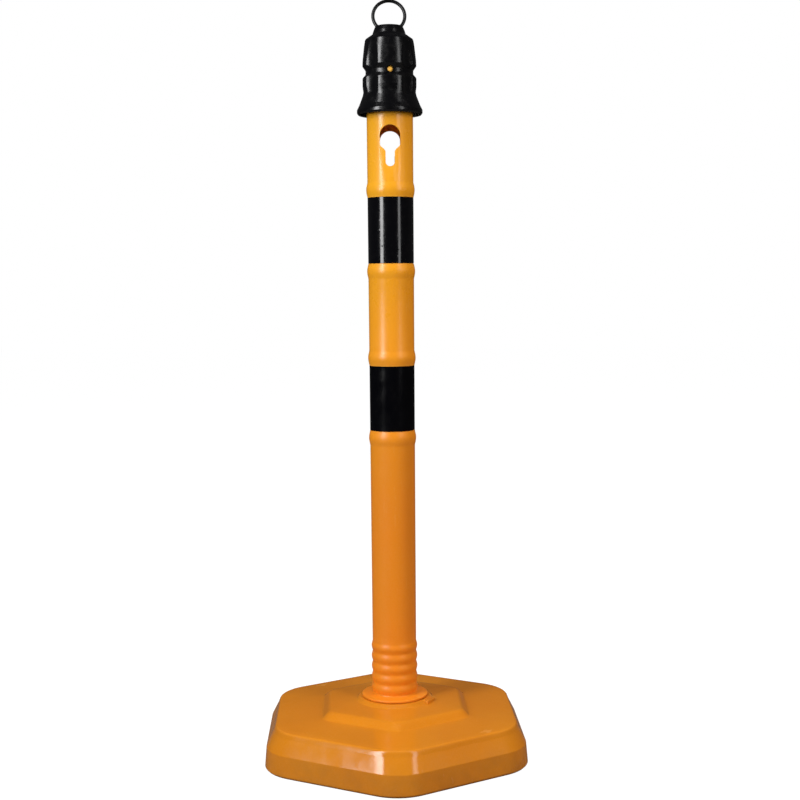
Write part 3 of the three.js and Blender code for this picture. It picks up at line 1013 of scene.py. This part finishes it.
def band_film():
    """Glossy black film, with small trapped bubbles and a slight waviness round the tube."""
    shader = Shader("band_film")
    bubbles = shader.add("ShaderNodeTexVoronoi", {"Vector": shader.place, "Scale": 190}).outputs["Distance"]
    sparse = shader.ramp(shader.noise(22, 3), 0.56, 0.66)
    blister = shader.times(shader.ramp(bubbles, 0.28, 0.05), sparse)
    dust = shader.ramp(shader.noise(150, 6), 0.52, 0.74)
    base = shader.mix(shader.times(dust, 0.01), colour(4, 4, 7), colour(110, 108, 104))
    rough = shader.ramp(shader.noise(60, 5), 0.3, 0.7, 0.1, 0.2)
    shader.set(Base_Color=base, Roughness=rough, IOR=1.52)
    shader.bump((shader.noise(24, 1, (1, 1, 0.35)), 0.22, 0.0006), (blister, 0.5, 0.0002))
    return shader.material


def rubber():
    shader = Shader("seal_rubber")
    grain = shader.noise(700, 4)
    bloom = shader.ramp(shader.noise(90, 5), 0.4, 0.7)
    base = shader.mix(shader.times(bloom, 0.3), colour(24, 24, 25), colour(58, 57, 55))
    shader.set(Base_Color=base, Roughness=shader.ramp(grain, 0.3, 0.7, 0.6, 0.8), IOR=1.5)
    shader.bump((grain, 0.3, 0.0002))
    return shader.material


def sand():
    shader = Shader("sand")
    grain = shader.add("ShaderNodeTexVoronoi", {"Vector": shader.place, "Scale": 900})
    tone = shader.ramp(shader.noise(24, 5), 0.35, 0.65)
    base = shader.mix(tone, colour(168, 142, 100), colour(205, 183, 142))
    speck = shader.add("ShaderNodeSeparateXYZ", {0: grain.outputs["Color"]}).outputs[0]
    base = shader.mix(shader.ramp(speck, 0.72, 0.95), base, colour(96, 78, 58))
    shader.set(Base_Color=base, Roughness=shader.ramp(speck, 0, 1, 0.8, 1.0))
    shader.bump((grain.outputs["Distance"], 0.8, 0.0006))
    return shader.material


def spring_steel():
    shader = Shader("spring_steel")
    drawn = shader.noise(500, 3, (1, 1, 0.03))
    tint = shader.ramp(shader.noise(60, 4), 0.35, 0.65)
    base = shader.mix(tint, colour(150, 150, 152), colour(190, 188, 184))
    shader.set(Base_Color=base, Roughness=shader.ramp(drawn, 0.3, 0.7, 0.22, 0.42), Metallic=1.0)
    shader.bump((drawn, 0.25, 0.00008))
    return shader.material


# ---------------------------------------------------------------------------
# pieces on their bodies
# ---------------------------------------------------------------------------
def finish_piece(piece, material, body, slot, *nodes):
    piece.data.materials.append(material)
    if body:
        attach(piece, body)
    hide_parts(*nodes)


BASE_PLASTIC = yellow_plastic(
    "base_plastic", colour(222, 138, 25), colour(214, 127, 20), 0.14, (0.4, 0.4, 1)
)
# its fade paints shade: the lower post is darker and redder, as if less lit
POST_PLASTIC = yellow_plastic(
    "post_plastic", colour(239, 168, 30), colour(242, 138, 22), 0.25, (1, 1, 0.08), fade=(0.36, 0.76)
)
# painted highlight: the button's yellow is lighter and paler than the post's, for the light its domed face
# catches
LIT_BUTTON_PLASTIC = yellow_plastic(
    "button_plastic", colour(244, 190, 84), colour(240, 182, 74), 0.32, (1, 1, 1)
)
CAP_PLASTIC = black_plastic("cap_plastic", colour(6, 6, 8), 0.2)
RING_PLASTIC = black_plastic("ring_plastic", colour(5, 5, 6), 0.3)
PLUG_PLASTIC = black_plastic("plug_plastic", colour(20, 20, 21), 0.42, texture=0.3)

finish_piece(build_base(), BASE_PLASTIC, "base", "base_plastic", "base_shell")
finish_piece(build_sand(), sand(), "base", "sand", "sand_ballast")
finish_piece(build_plug(), PLUG_PLASTIC, "fill_plug", "plug_plastic", "fill_plug")
finish_piece(build_seal(), rubber(), "plug_seal", "seal_rubber", "fill_plug_seal")
finish_piece(build_post(), POST_PLASTIC, "post", "post_plastic", "post_tube")
film = band_film()
for band, (low, high) in {"band_lower": band_low_span, "band_upper": band_high_span}.items():
    finish_piece(build_band(band + "_film", low, high), film, "post", "band_film", band)
finish_piece(build_button(), LIT_BUTTON_PLASTIC, "snap_button", "button_plastic", "snap_button")
spring = build_spring()
finish_piece(spring, spring_steel(), None, "spring_steel", "button_spring")
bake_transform(spring)
finish_piece(build_cap(), CAP_PLASTIC, "post", "cap_plastic", "top_cap")
finish_piece(build_ring(), RING_PLASTIC, "top_ring", "ring_plastic", "top_ring")


# ---------------------------------------------------------------------------
# floor, light and background
# ---------------------------------------------------------------------------
def add_floor():
    mesh = bpy.data.meshes.new("floor")
    size = 12
    corners = [(-size, -size, 0), (size, -size, 0), (size, size, 0), (-size, size, 0)]
    mesh.from_pydata(corners, [], [(0, 1, 2, 3)])
    floor = bpy.data.objects.new("floor", mesh)
    bpy.context.scene.collection.objects.link(floor)
    floor.location.z = -0.0005
    shader = Shader("floor")
    shader.set(Base_Color=(0.12, 0.12, 0.12, 1), Roughness=0.9)
    path = shader.add("ShaderNodeLightPath").outputs["Is Camera Ray"]
    shader.set(Emission_Color=(1, 1, 1, 1), Emission_Strength=shader.times(path, 0.99))
    mesh.materials.append(shader.material)


def add_area_light(name, width, length, power, place):
    """A rectangular light that the camera doesn't see, facing down."""
    data = bpy.data.lights.new(name, "AREA")
    data.shape = "RECTANGLE"
    data.size = width
    data.size_y = length
    data.energy = power
    light = bpy.data.objects.new(name, data)
    bpy.context.scene.collection.objects.link(light)
    light.location = place
    light.visible_camera = False
    return light


def add_softbox(name, azimuth, distance, width, low, high, power):
    """An upright light that faces the object. Azimuth 0 is on the camera's side."""
    angle = math.radians(azimuth)
    middle = (low + high) / 2
    place = (distance * math.sin(angle), -distance * math.cos(angle), middle)
    light = add_area_light(name, width, high - low, power, place)
    toward = Vector((0, 0, middle)) - light.location
    light.rotation_euler = toward.to_track_quat("-Z", "Y").to_euler()
    return light


def add_world():
    world = bpy.data.worlds.new("studio")
    bpy.context.scene.world = world
    world.use_nodes = True
    nodes, links = world.node_tree.nodes, world.node_tree.links
    background = nodes["Background"]
    path = nodes.new("ShaderNodeLightPath")
    level = nodes.new("ShaderNodeMapRange")
    level.inputs["To Min"].default_value = 0.04
    level.inputs["To Max"].default_value = 1.0
    links.new(path.outputs["Is Camera Ray"], level.inputs["Value"])
    links.new(level.outputs[0], background.inputs["Strength"])
    background.inputs["Color"].default_value = (1, 1, 1, 1)


add_floor()
add_world()
add_softbox("left_light", CAMERA_AZIMUTH - 46, 2.2, 0.6, 0.6, 3.1, 56)
add_softbox("right_light", CAMERA_AZIMUTH + 43, 2.2, 0.42, 0.6, 3.1, 12)
# the fills brighten surfaces without mirroring in them
right_fill = add_softbox("right_fill", 58, 2.4, 1.6, 0.8, 2.4, 32)
right_fill.data.color = (1, 0.8, 0.66)
left_fill = add_softbox("left_fill", -62, 2.4, 1.6, 0.8, 2.4, 12)
rear_fill = add_softbox("rear_fill", 165, 2.6, 1.6, 0.6, 2.2, 14)
top_light = add_area_light("top_light", 2, 2, 29, (0, -0.3, 2.7))
for fill in (right_fill, left_fill, rear_fill, top_light):
    fill.visible_glossy = False
bpy.context.scene.view_settings.view_transform = "Standard"
